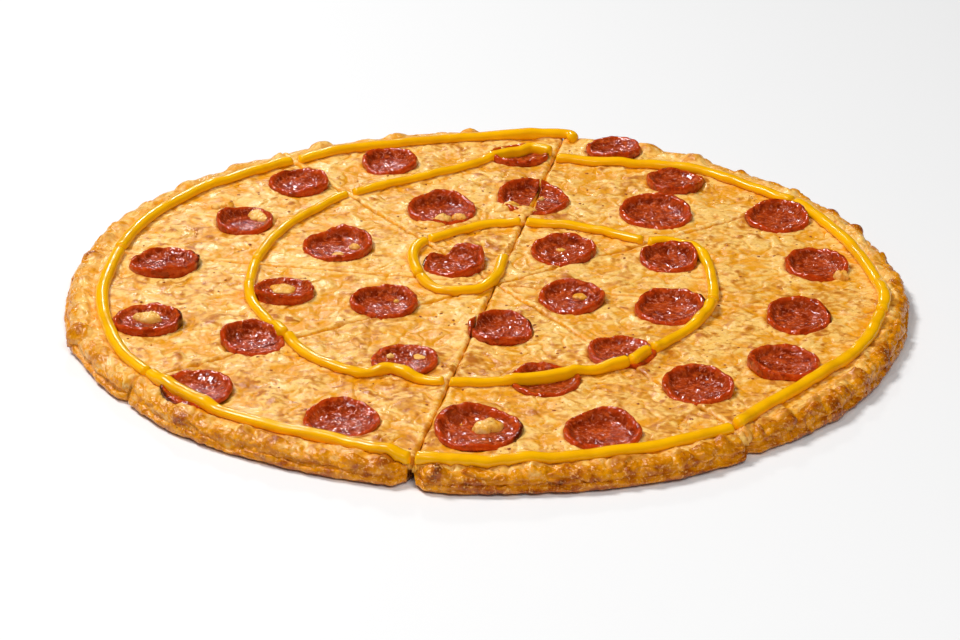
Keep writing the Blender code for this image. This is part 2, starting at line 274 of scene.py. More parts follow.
def hill(value, middle, width):
    """A bell-shaped rise to 1 at the middle."""
    return np.exp(-(((value - middle) / width) ** 2))


def dome(apart, power):
    """A round rise to 1 that ends where apart is 1."""
    return np.clip(1.0 - apart**2, 0.0, 1.0) ** power


def close_to(x, y, px, py, reach):
    """Which places lie in a square about a point."""
    return (np.abs(x - px) < reach) & (np.abs(y - py) < reach)


def scattered(rng, reach, count=None):
    """Random places, evenly spread over a round."""
    out = reach * np.sqrt(rng.uniform(0.0, 1.0, count))
    angle = rng.uniform(0.0, math.tau, count)
    return out * np.cos(angle), out * np.sin(angle)


def noise(x, y, size, seed):
    """Soft random waves about this size, mostly between -1 and 1, over a plane."""
    rng = np.random.default_rng(seed)
    cells = 97
    lean = rng.uniform(0.0, math.tau, (cells, cells))
    turn = rng.uniform(0.0, math.tau)
    u = (x * math.cos(turn) - y * math.sin(turn)) / size + rng.uniform(0, cells)
    v = (x * math.sin(turn) + y * math.cos(turn)) / size + rng.uniform(0, cells)
    i = np.floor(u).astype(int)
    j = np.floor(v).astype(int)
    u = u - i
    v = v - j

    def corner(right, up):
        angle = lean[(i + right) % cells, (j + up) % cells]
        return np.cos(angle) * (u - right) + np.sin(angle) * (v - up)

    s = u * u * u * (u * (u * 6 - 15) + 10)
    t = v * v * v * (v * (v * 6 - 15) + 10)
    low = corner(0, 0) * (1 - s) + corner(1, 0) * s
    high = corner(0, 1) * (1 - s) + corner(1, 1) * s
    return 1.6 * (low * (1 - t) + high * t)


def waves(x, y, *kinds):
    """Noise of several kinds together, each as how much, its size in millimetres and its seed."""
    return sum(share * noise(x, y, size * MM, seed) for share, size, seed in kinds)


def walk(points):
    """The distance walked to each point of a line."""
    return np.concatenate(([0.0], np.cumsum(np.linalg.norm(np.diff(points, axis=0), axis=1))))


def curve_through(points, spacing):
    """Evenly spaced points on a smooth curve through the given ones."""
    knots = [Vector(point) * MM for point in points]
    knots = [2 * knots[0] - knots[1]] + knots + [2 * knots[-1] - knots[-2]]
    fine = []
    for before, start, end, after in zip(knots, knots[1:], knots[2:], knots[3:]):
        for t in np.linspace(0.0, 1.0, 24, endpoint=False):
            fine.append(0.5 * (
                2 * start + (end - before) * t
                + (2 * before - 5 * start + 4 * end - after) * t**2
                + (3 * start - before - 3 * end + after) * t**3
            ))
    fine.append(knots[-2])
    fine = np.array(fine)
    walked = walk(fine)
    count = max(2, round(walked[-1] / spacing)) + 1
    stations = np.linspace(0.0, walked[-1], count)
    return np.column_stack([np.interp(stations, walked, fine[:, k]) for k in range(2)])


class Slice:
    """One slice's place: its middle line, its point, and its edge as the frame has it."""

    def __init__(self, index):
        self.number = index + 1
        self.start = FIRST_CUT + index * SLICE_ANGLE
        self.middle = self.start + SLICE_ANGLE / 2.0
        draw_out = CRUST_GAP / 2.0 / math.sin(SLICE_ANGLE / 2.0)
        along = np.array((math.cos(self.middle), math.sin(self.middle)))
        self.point = CUT_CENTRE + draw_out * along
        corners = get_points(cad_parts[f"dough_slice_{self.number}"].data)
        angle, reach = self.polar(corners[:, 0], corners[:, 1])
        outer = {}
        for a, r in zip(np.round(angle, 4), reach):
            outer[a] = max(outer.get(a, 0.0), r)
        self.angles = np.array(sorted(a for a in outer if outer[a] > 0.8 * max(reach)))
        self.edges = np.array([outer[a] for a in self.angles])

    def polar(self, x, y):
        """Angle, in one run from the first cut onwards, and distance from the point."""
        dx = x - self.point[0]
        dy = y - self.point[1]
        turn = np.arctan2(dy, dx) - self.middle
        turn = (turn + math.pi) % math.tau - math.pi
        return self.middle + turn, np.hypot(dx, dy)

    def edge(self, angle):
        return np.interp(angle, self.angles, self.edges)

    def cuts(self):
        """The angles of its two cuts, each with the sign of the turn into the slice."""
        return (self.start, 1.0), (self.start + SLICE_ANGLE, -1.0)


def from_cut(cut, inwards, x, y):
    """How far each place is from a cut, on the side that it turns to."""
    return inwards * ((y - CUT_CENTRE[1]) * math.cos(cut) - (x - CUT_CENTRE[0]) * math.sin(cut))


def slice_numbers(x, y):
    """Which slice each place lies on."""
    angle = np.arctan2(y - CUT_CENTRE[1], x - CUT_CENTRE[0]) - FIRST_CUT
    return np.floor((angle % math.tau) / SLICE_ANGLE).astype(int) % SLICE_COUNT


def crust_line():
    """The crust's section as even points, with the run from its crest, down being positive."""
    line = curve_through(CRUST_SECTION, CRUST_GRAIN)
    walked = walk(line)
    crest = walked[np.argmin(np.abs(line[:, 0] - CRUST_TOP_INSET) + (line[:, 1] < 8 * MM))]
    return line, crest - walked


def crust_swell(angle, run):
    """How far the crust's lumps push its surface out, and how toasted it is there."""
    around = angle * RADIUS
    rough = 0.68 + 0.32 * np.cos(angle - ROUGHEST)
    lumps = 0.95 * noise(around, run, 17 * MM, 11)
    lumps += rough * waves(around, run, (0.90, 8, 12), (0.24, 1.9, 14))
    lumps += 0.42 * rough * noise(around, run * 1.2, 4 * MM, 13)
    fold = np.abs(noise(around, run * 1.6, 11 * MM, 15))
    lumps -= 0.9 * rough * (1.0 - smooth(0.0, 0.20, fold))
    side = smooth(3.5 * MM, 6 * MM, run)
    layers = noise(around, run * 5.0, 9 * MM, 16) + 0.6 * noise(around, run * 3.0, 3 * MM, 19)
    lumps += side * 0.45 * layers
    shut = smooth(-0.3, 0.3, noise(around, 0.0 * run, 24 * MM, 10))
    lumps += 1.2 * shut * hill(run, CREASE_RUN, 1.3 * MM)
    toast = waves(around, run, (0.34, 11, 17), (0.34, 4, 18))
    toast += 0.16 * lumps - 0.25 * side * layers + 0.95 * (rough - 0.70)
    swell = sizes().crust_relief * lumps
    for degrees, down, radius, height, brown in KNOBS:
        place = math.radians(degrees)
        place += math.tau * (place < FIRST_CUT)
        apart = np.hypot((angle - place) * RADIUS, (run - down * MM) * 0.9)
        near = apart < 1.6 * radius * MM
        if near.any():
            wobble = 1.0 + 0.3 * noise(around[near], run[near], radius * 0.8 * MM, degrees)
            hump = dome(apart[near] / (radius * MM * wobble), 1.5)
            swell[near] += 0.9 * height * MM * hump
            toast[near] += brown * hump**1.2
    return swell, toast


LINE, RUN = crust_line()


def crust_height(angle, inset):
    """Height of the crust's upper side."""
    upper = slice(int(np.argmax(LINE[:, 1] > 6.5 * MM)), None)
    run = np.interp(inset, LINE[upper, 0], RUN[upper])
    plain = np.interp(inset, LINE[upper, 0], LINE[upper, 1])
    swell, toast = crust_swell(angle, run)
    return plain + swell * smooth(15 * MM, 9 * MM, inset), toast


Sausage = collections.namedtuple("Sausage", "number nodes x y radius")


def pepperoni_places():
    """Each slice of sausage as the frame has it."""
    found = {}
    for name in sorted(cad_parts):
        if name.startswith("pepperoni_"):
            found.setdefault(int(name.split("_")[1]), []).append(name)
    places = []
    for number, nodes in sorted(found.items()):
        boxes = [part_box(node) for node in nodes]
        low = np.min([box[0] for box in boxes], axis=0)
        high = np.max([box[1] for box in boxes], axis=0)
        middle = (low + high) / 2.0
        radius = (high - low)[:2].mean() / 2.0
        places.append(Sausage(number, nodes, middle[0], middle[1], radius))
    return places


PEPPERONI = pepperoni_places()


@functools.cache
def blisters():
    """Places, radii and heights of the bubbles that rose in the cheese."""
    rng = np.random.default_rng(5)
    x, y = scattered(rng, BLISTER_REACH, BLISTER_COUNT)
    radius = rng.uniform(1.5, 5.0, BLISTER_COUNT) * MM
    height = radius * rng.uniform(0.10, 0.24, BLISTER_COUNT)
    return np.column_stack((x, y, radius, height))


@functools.cache
def toast_marks():
    """Places, directions, lengths, widths and strengths of the small browned marks."""
    rng = np.random.default_rng(8)
    marks = []
    for patch in range(MARK_PATCHES):
        middle = scattered(rng, MARK_REACH)
        for mark in range(rng.integers(4, 13)):
            px, py = rng.normal(0.0, 6.0 * MM, 2) + middle
            long = rng.uniform(0.7, 2.6) * MM
            strong = rng.uniform(0.25, 0.9) * (0.7 + 0.3 * (py < 0.0))
            marks.append((px, py, rng.normal(0.2, 0.6), long, rng.uniform(0.4, 0.9) * MM, strong))
    return marks


def cheese_relief(x, y):
    """Soft bumps, creases and blisters of the melted cheese, and how toasted it is."""
    warp_x = x + 2.5 * MM * noise(x, y, 9 * MM, 31)
    warp_y = y + 2.5 * MM * noise(x, y, 9 * MM, 32)
    relief = waves(x, y, (0.55, 24, 21), (0.05, 1.4, 25))
    relief += waves(warp_x, warp_y, (0.55, 11, 22), (0.34, 5.5, 23), (0.13, 2.7, 24))
    crease = np.abs(noise(warp_x, warp_y, 14 * MM, 26))
    relief -= 0.45 * (1.0 - smooth(0.0, 0.13, crease))
    ridge = np.abs(noise(warp_x, warp_y, 7 * MM, 33))
    relief += 0.15 * (1.0 - smooth(0.0, 0.35, ridge))
    toast = waves(warp_x, warp_y, (0.40, 7, 27), (0.42, 2.8, 28))
    toast += 0.35 * noise(x, y, 30 * MM, 29) + 0.15 * relief + 0.15 * smooth(0.0, -0.11, y)
    for px, py, radius, height in blisters():
        near = close_to(x, y, px, py, radius)
        bubble = dome(np.hypot(x[near] - px, y[near] - py) / radius, 1.3)
        relief[near] += bubble * height / MM
        toast[near] += 0.6 * bubble**2
    for px, py, turn, long, wide, strong in toast_marks():
        near = close_to(x, y, px, py, 2 * long)
        if near.any():
            dx, dy = warp_x[near] - px, warp_y[near] - py
            along = (dx * math.cos(turn) + dy * math.sin(turn)) / long
            across = (dy * math.cos(turn) - dx * math.sin(turn)) / wide
            toast[near] += strong * np.exp(-along**2 - across**2)
    return relief, toast


def cheese_surface(place, x, y):
    """Height of one slice's cheese, its toasting and painted shade, and how much crust shows
    through.
    """
    angle, reach = place.polar(x, y)
    inset = place.edge(angle) - reach
    relief, toast = cheese_relief(x, y)
    flat = CHEESE_HEIGHT + sizes().cheese_relief * relief
    for cup in PEPPERONI:
        near = close_to(x, y, cup.x, cup.y, cup.radius + 8 * MM)
        apart = np.hypot(x[near] - cup.x, y[near] - cup.y) - cup.radius
        lip = hill(apart, 1.4 * MM, 1.5 * MM)
        under = smooth(0.5 * MM, -2.0 * MM, apart)
        flat[near] += 0.35 * MM * lip - under * (0.9 * MM + 0.5 * (flat[near] - CHEESE_HEIGHT))
        # A darker ring round each cup: partly the sausage's oil and partly painted shade where the
        # cheese meets the cup.
        toast[near] += 0.12 * hill(apart, 0.8 * MM, 1.5 * MM)
    crust, crust_toast = crust_height(angle, inset)
    cover = (inset - cheese_reach(angle)) / (3.0 * MM)
    thick = 0.8 * MM * np.clip(cover, -1.2, 1.0) + 0.25 * MM * relief
    over_rim = smooth(12.5 * MM, 9.0 * MM, inset)
    height = (1.0 - over_rim) * flat + over_rim * (crust + thick)
    toast = (1.0 - over_rim) * toast + over_rim * (0.6 * toast + crust_toast)
    for cut, inwards in place.cuts():
        off = from_cut(cut, inwards, x, y) - sizes().cut_gap / 2.0
        height += 0.30 * MM * hill(off, 1.9 * MM, 1.1 * MM)
        height -= 0.9 * MM * smooth(1.1 * MM, 0.0, off) ** 2
    return height, toast, over_rim


def cheese_reach(angle):
    """How far in from the crust's edge the cheese ends."""
    return (5.0 + waves(angle * RADIUS, 0 * angle, (3.0, 17, 41), (1.8, 6, 42))) * MM


def food_height(x, y):
    """Height of the cheese and the crust anywhere on the pizza."""
    height = np.full(x.shape, CHEESE_HEIGHT)
    number = slice_numbers(x, y)
    for index, place in enumerate(all_slices()):
        here = number == index
        if here.any():
            height[here] = cheese_surface(place, x[here], y[here])[0]
            angle, reach = place.polar(x[here], y[here])
            crust = crust_height(angle, place.edge(angle) - reach)[0]
            height[here] = np.maximum(height[here], crust)
    return height


@functools.cache
def all_slices():
    return [Slice(index) for index in range(SLICE_COUNT)]


# ---- mesh helpers


def get_points(mesh):
    flat = np.empty(len(mesh.vertices) * 3)
    mesh.vertices.foreach_get("co", flat)
    return flat.reshape(-1, 3)


def set_points(mesh, points):
    mesh.vertices.foreach_set("co", points.astype(np.float32).ravel())
    mesh.update()


def stored(mesh, name):
    """One number for each point, as a bmesh layer left it."""
    values = np.empty(len(mesh.vertices))
    mesh.attributes[name].data.foreach_get("value", values)
    return values


def paint(mesh, name, values):
    """Stores one number for each point, for the material to read."""
    layer = mesh.attributes.new(name, "FLOAT", "POINT")
    layer.data.foreach_set("value", np.asarray(values, dtype=np.float32))


def only(kind, geometry):
    return [part for part in geometry if isinstance(part, kind)]


def cut_away(bm, place, normal, dist):
    """Takes off what lies behind a plane."""
    bmesh.ops.bisect_plane(
        bm, geom=bm.verts[:] + bm.edges[:] + bm.faces[:], dist=dist, plane_co=place,
        plane_no=-normal, clear_outer=True,
    )


def face_outwards(bm):
    bmesh.ops.recalc_face_normals(bm, faces=bm.faces[:])
    if bm.calc_volume(signed=True) < 0.0:
        bmesh.ops.reverse_faces(bm, faces=bm.faces[:])


def finish_mesh(bm, name):
    mesh = bpy.data.meshes.new(name)
    bm.to_mesh(mesh)
    bm.free()
    return mesh


def add_piece(mesh, material, nodes=()):
    """Puts a finished mesh in the scene, riding on the pizza's body."""
    mesh.shade_smooth()
    piece = bpy.data.objects.new(mesh.name, mesh)
    bpy.context.scene.collection.objects.link(piece)
    mesh.materials.append(material)
    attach(piece, BODY)
    if nodes:
        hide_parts(*nodes)
    return piece


# ---- materials


def mixed(first, second, share):
    return tuple((1.0 - share) * a + share * b for a, b in zip(first, second))


def shade(colour, scale, lift=(0.0, 0.0, 0.0)):
    """A colour made stronger or darker, and then lifted."""
    return tuple(min(1.0, scale * c + k) for c, k in zip(colour, lift))


def add_node(tree, kind, output, **inputs):
    """Adds a node, fills or links its inputs and gives back one of its outputs."""
    node = tree.nodes.new("ShaderNode" + kind)
    if kind == "Mix":
        node.data_type = "RGBA"
    if kind == "MapRange":
        node.interpolation_type = "SMOOTHSTEP"
    for name, value in inputs.items():
        socket = node.inputs[name.replace("_", " ")]
        if isinstance(value, bpy.types.NodeSocket):
            tree.links.new(value, socket)
        else:
            socket.default_value = value
    return node.outputs[output]


def between(tree, value, low, high, top=1.0, bottom=0.0):
    """Turns a value's stretch from low to high into a smooth one from bottom to top."""
    return add_node(tree, "MapRange", "Result", Value=value, From_Min=low, From_Max=high,
                    To_Min=bottom, To_Max=top)


class Finish:
    """A material in the making: its shader, and the colour that is laid on so far."""

    def __init__(self, name, colour, roughness, coat=0.0, soft=0.0, gloss=0.5):
        self.material = bpy.data.materials.new(name)
        self.material.use_nodes = True
        self.tree = self.material.node_tree
        self.shader = self.tree.nodes["Principled BSDF"]
        self.colour = (*colour, 1.0)
        for socket, value in {
            "Roughness": roughness, "Specular IOR Level": gloss, "Coat Weight": coat,
            "Coat Roughness": 0.18, "Subsurface Weight": soft,
            "Subsurface Radius": (3.0, 1.5, 0.8), "Subsurface Scale": MM,
        }.items():
            self.shader.inputs[socket].default_value = value

    def grain(self, size, detail=3.0, stretch=(1.0, 1.0, 1.0), twist=0.0):
        """Noise on the object's own coordinates; size is the width of its waves in metres."""
        place = add_node(self.tree, "TexCoord", "Object")
        place = add_node(self.tree, "Mapping", "Vector", Vector=place, Scale=stretch)
        return add_node(self.tree, "TexNoise", "Fac", Vector=place, Scale=1.0 / size,
                        Detail=detail, Distortion=twist)

    def attribute(self, name):
        node = self.tree.nodes.new("ShaderNodeAttribute")
        node.attribute_name = name
        return node.outputs["Fac"]

    def sum(self, first, second):
        node = self.tree.nodes.new("ShaderNodeMath")
        self.tree.links.new(first, node.inputs[0])
        self.tree.links.new(second, node.inputs[1])
        return node.outputs["Value"]

    def between(self, *values):
        return between(self.tree, *values)

    def put(self, value, name):
        self.tree.links.new(value, self.shader.inputs[name])

    def tint(self, colour, value, low, high, top=1.0):
        """Lays a colour on where the value goes from low to high, at the most as much as top."""
        self.colour = add_node(
            self.tree, "Mix", "Result", Factor=self.between(value, low, high, top),
            A=self.colour, B=(*colour, 1.0))
        self.put(self.colour, "Base Color")

    def bumps(self, height, distance, strength=1.0):
        self.put(add_node(self.tree, "Bump", "Normal", Height=height, Distance=distance,
                          Strength=strength), "Normal")


def cheese_material():
    own = colours()
    made = Finish("melted_cheese", own.cream, 0.42, coat=0.05, soft=0.06, gloss=0.34)
    amber = mixed(own.gold, own.toasted, 0.4)
    brown = mixed(own.gold, own.toasted, 0.8)
    mottle = made.sum(made.grain(8 * MM, 8.0, twist=0.4), made.attribute("hollow"))
    made.tint(own.gold, mottle, 0.38, 0.64)
    pale = shade(own.cream, 1.02, (0.0, 0.09, 0.14))
    made.tint(pale, made.grain(4 * MM, 8.0, twist=0.3), 0.50, 0.70, 0.70)
    made.tint(amber, made.grain(1.8 * MM, 6.0, twist=0.3), 0.50, 0.68, 0.50)
    toast = made.sum(made.attribute("toast"), made.grain(2.2 * MM, 8.0, twist=0.4))
    made.tint(amber, toast, 0.56, 0.96, 0.75)
    made.tint(brown, toast, 0.90, 1.35, 0.85)
    speck = made.sum(made.grain(1.7 * MM, 6.0), made.attribute("speck"))
    made.tint(brown, speck, 0.61, 0.76, 0.80)
    made.put(made.between(made.grain(8 * MM), 0.35, 0.65, 0.50, 0.26), "Roughness")
    made.bumps(made.grain(1.6 * MM, 5.0), 0.25 * MM, 0.8)
    return made.material


def crust_material():
    own = colours()
    made = Finish("baked_crust", own.dough, 0.20, soft=0.04, gloss=0.45)
    amber = mixed(own.tan, own.toasted, 0.5)
    mottle = made.sum(made.grain(8 * MM, 6.0, twist=0.6), made.attribute("toast"))
    flakes = made.between(made.grain(3.2 * MM, 4.0, twist=0.5), 0.40, 0.60, 0.24)
    mottle = made.sum(mottle, flakes)
    made.tint(own.tan, mottle, 0.25, 0.62)
    made.tint(amber, mottle, 0.62, 0.95, 0.8)
    made.tint(own.toasted, mottle, 0.95, 1.35, 0.9)
    made.tint(shade(own.toasted, 0.35), mottle, 1.35, 1.75, 0.8)
    speck = made.grain(1.3 * MM, 5.0)
    made.tint(amber, speck, 0.55, 0.70, 0.7)
    made.tint(shade(own.dough, 1.1, (0.03, 0.03, 0.03)), speck, 0.45, 0.32, 0.6)
    made.bumps(made.grain(1.6 * MM), 0.7 * MM)
    return made.material


def pepperoni_material():
    own = colours()
    made = Finish("cooked_sausage", own.sausage, 0.13, soft=0.02)
    dark = (0.50 * own.sausage[0], 0.25 * own.sausage[1], 0.0)
    made.tint(dark, made.grain(6 * MM, 5.0), 0.46, 0.64, 0.85)
    # Pinkish streaks: partly fat in the sausage and partly a painted highlight, with darker meat
    # between them.
    fat_and_highlight_streaks = made.grain(1.6 * MM, 4.0, stretch=(1.0, 1.3, 1.0), twist=0.8)
    made.tint(shade(own.sausage, 1.0, (0.38, 0.19, 0.12)), fat_and_highlight_streaks, 0.53, 0.66, 0.65)
    made.tint(dark, fat_and_highlight_streaks, 0.44, 0.34, 0.6)
    made.tint(own.rim, made.attribute("rim"), 0.2, 0.8, 0.95)
    bright = shade(own.rim, 1.25, (0.05, 0.05, 0.01))
    made.tint(bright, made.grain(2.5 * MM, 5.0), 0.52, 0.66, 0.6)
    made.tint(dark, made.grain(4 * MM, 5.0), 0.46, 0.36, 0.6)
    # Near black on the edge: painted shade on one side of some cups, and char in specks.
    made.tint(shade(own.rim, 0.10), made.attribute("char_and_shade"), 0.30, 0.80, 0.9)
    made.bumps(made.grain(2.6 * MM, 1.0, twist=0.5), 1.0 * MM)
    return made.material


def mustard_material():
    own = colours()
    made = Finish("mustard", own.mustard, 0.20, soft=0.05, gloss=0.30)
    deep = tuple(c * k for c, k in zip(own.mustard, (0.82, 0.72, 0.6)))
    made.tint(deep, made.grain(11 * MM), 0.40, 0.70, 0.6)
    made.bumps(made.grain(2.2 * MM, 2.0), 0.12 * MM, 0.5)
    return made.material


def speck_material():
    toasted = colours().toasted
    made = Finish("toasted_speck", toasted, 0.6)
    red = (0.8 * toasted[0], 0.5 * toasted[1], toasted[2])
    made.tint(red, made.grain(20 * MM, 2.0), 0.4, 0.6)
    return made.material


# ---- pieces


class PIZZA_OT_crust(bpy.types.Operator):
    """Bake the eight slices of crust"""

    bl_idname = "pizza.crust"
    bl_label = "Crust"

    def execute(self, context):
        material = crust_material()
        for place in all_slices():
            mesh = self.slice_mesh(place)
            add_piece(mesh, material, [f"dough_slice_{place.number}"])
        return {"FINISHED"}

    def slice_mesh(self, place):
        """The crust's section, turned through the slice's angle and then swollen."""
        index = place.number - 1
        below = [(RADIUS * share, 0.0) for share in (1.0, 0.66, 0.33)]
        above = [(RADIUS * share, BASE_HEIGHT) for share in (0.33, 0.66, 1.0)]
        line = np.vstack((below, LINE, above))
        bm = bmesh.new()
        along = bm.verts.layers.float.new("along")
        ring = []
        for step, (inset, height) in enumerate(line):
            vert = bm.verts.new((RADIUS - inset, 0.0, height))
            vert[along] = step
            ring.append(vert)
        chain = [bm.edges.new((a, b)) for a, b in zip(ring, ring[1:])]
        bm.faces.new(ring)
        spun = bmesh.ops.spin(
            bm, geom=ring + chain, cent=(0, 0, 0), axis=(0, 0, 1), angle=SLICE_ANGLE,
            steps=CRUST_STEPS, use_merge=False, use_duplicate=False,
        )
        bm.faces.new(sorted(only(BMVert, spun["geom_last"]), key=lambda vert: vert[along]))
        bmesh.ops.remove_doubles(bm, verts=bm.verts[:], dist=1e-7)
        face_outwards(bm)
        mesh = finish_mesh(bm, f"crust_slice_{place.number}")

        points = get_points(mesh)
        step = stored(mesh, "along")
        angle = np.arctan2(points[:, 1], points[:, 0]) + place.start
        inset = np.interp(step, range(len(line)), line[:, 0])
        height = np.interp(step, range(len(line)), line[:, 1])
        run = np.interp(step, np.arange(len(LINE)) + len(below), RUN)
        tangent = np.gradient(line, axis=0)
        out = -np.interp(step, range(len(line)), tangent[:, 1])
        up = np.interp(step, range(len(line)), tangent[:, 0])
        size = np.hypot(out, up) + 1e-9
        leaning = smooth(0.0, 3 * MM, run)
        push_out = -leaning * out / size
        push_up = (1.0 - leaning) + leaning * up / size
        swell, toast = crust_swell(angle, run)
        fade = smooth(15 * MM, 9 * MM, inset) * smooth(16 * MM, 8 * MM, run)
        swell = swell * fade
        reach = (RADIUS - inset) * place.edge(angle) / RADIUS + push_out * swell
        reach += 0.5 * MM * smooth(0.0, 4 * MM, run) * smooth(9 * MM, 6 * MM, inset)
        reach[RADIUS - inset < 1e-5] = 0.0
        corner = np.zeros(len(points))
        for cut, off in ((index, angle - place.start),
                         ((index + 1) % SLICE_COUNT, place.start + SLICE_ANGLE - angle)):
            wide, deep = NOTCHES.get(cut, WORN)
            close = smooth(wide * MM, 0.0, off * RADIUS)
            corner += deep * close**1.5
            aside = NOTCH_GAP * max(0.0, deep - WORN_OPEN) * close * smooth(8 * MM, 3 * MM, inset)
            angle += np.sign(place.middle - angle) * aside / RADIUS
        corner *= smooth(14 * MM, 9 * MM, inset)
        reach -= 1.7 * MM * corner * smooth(-2 * MM, 5 * MM, run)
        lifted = np.maximum(height + push_up * swell, 0.0)
        lifted -= 0.9 * MM * corner * smooth(3 * MM, -1 * MM, run)
        under = (run > 12 * MM) & (height < 1 * MM)
        lifted[under] += 0.12 * MM * (1 + noise(points[under, 0], points[under, 1], 3 * MM, 19))
        points[:, 0] = place.point[0] + reach * np.cos(angle)
        points[:, 1] = place.point[1] + reach * np.sin(angle)
        points[:, 2] = lifted
        set_points(mesh, points)
        side = smooth(2 * MM, 6 * MM, run) * smooth(16 * MM, 10 * MM, run)
        base = 0.35 * smooth(9 * MM, 13 * MM, run)
        paint(mesh, "toast", toast + 0.10 * side + base)
        return mesh


class PIZZA_OT_cheese(bpy.types.Operator):
    """Melt the cheese over the eight slices"""

    bl_idname = "pizza.cheese"
    bl_label = "Cheese"

    def execute(self, context):
        material = cheese_material()
        for place in all_slices():
            mesh = self.slice_mesh(place)
            add_piece(mesh, material, [f"cheese_slice_{place.number}"])
        return {"FINISHED"}

    def slice_mesh(self, place):
        """A fine sheet cut to the slice, closed by its sides and a flat underside."""
        across = 2.0 * CHEESE_SHEET * math.sin(SLICE_ANGLE / 2.0)
        bm = bmesh.new()
        turn = Matrix.Rotation(place.middle, 4, "Z")
        middle = Vector((CUT_CENTRE[0], CUT_CENTRE[1], 0.0))
        shape = (Matrix.Translation(middle) @ turn @ Matrix.Translation((CHEESE_SHEET / 2, 0, 0))
                 @ Matrix.Diagonal((CHEESE_SHEET, across, 1.0, 1.0)))
        bmesh.ops.create_grid(
            bm, x_segments=round(CHEESE_SHEET / CHEESE_GRAIN),
            y_segments=round(across / CHEESE_GRAIN), size=0.5, matrix=shape,
        )
        for cut, inwards in place.cuts():
            normal = Vector((-math.sin(cut), math.cos(cut), 0.0)) * inwards
            cut_away(bm, middle + normal * sizes().cut_gap / 2.0, normal, 0.12 * MM)
        corners = np.array([vert.co[:2] for vert in bm.verts])
        angle, reach = place.polar(corners[:, 0], corners[:, 1])
        spare = place.edge(angle) - reach - cheese_reach(angle) + 1.6 * MM
        doomed = [vert for vert, room in zip(bm.verts, spare) if room < 0.0]
        bmesh.ops.delete(bm, geom=doomed, context="VERTS")
        loose = [vert for vert in bm.verts if len(vert.link_faces) == 0]
        bmesh.ops.delete(bm, geom=loose, context="VERTS")
        under = bm.verts.layers.float.new("under")
        rim = [edge for edge in bm.edges if edge.is_boundary]
        wall = bmesh.ops.extrude_edge_only(bm, edges=rim)
        for vert in only(BMVert, wall["geom"]):
            vert[under] = 1.0
            vert.co.z = -1.0 * MM
        hem = [edge for edge in only(BMEdge, wall["geom"]) if edge.is_boundary]
        bmesh.ops.holes_fill(bm, edges=hem, sides=0)
        face_outwards(bm)
        mesh = finish_mesh(bm, f"cheese_slice_{place.number}_melted")

        points = get_points(mesh)
        x, y = points[:, 0], points[:, 1]
        height, toast, over_rim = cheese_surface(place, x, y)
        points[:, 2] = np.where(stored(mesh, "under") > 0.5, BASE_HEIGHT + 0.3 * MM, height)
        reach = place.polar(x, y)[1]
        for cut, inwards in place.cuts():
            off = from_cut(cut, inwards, x, y)
            sway = 0.28 * MM * noise(reach, 0 * reach, 7 * MM, int(cut * 100))
            sway = sway * smooth(2.5 * MM, 0.0, off) * inwards
            points[:, 0] += -math.sin(cut) * sway
            points[:, 1] += math.cos(cut) * sway
        set_points(mesh, points)
        level = (height - CHEESE_HEIGHT) / (0.8 * MM)
        paint(mesh, "hollow", np.clip(-0.35 * level, -0.25, 0.35) * (1.0 - over_rim))
        paint(mesh, "toast", toast)
        paint(mesh, "speck", 0.09 * noise(x, y, 14 * MM, 51) + 0.07 * toast)
        return mesh


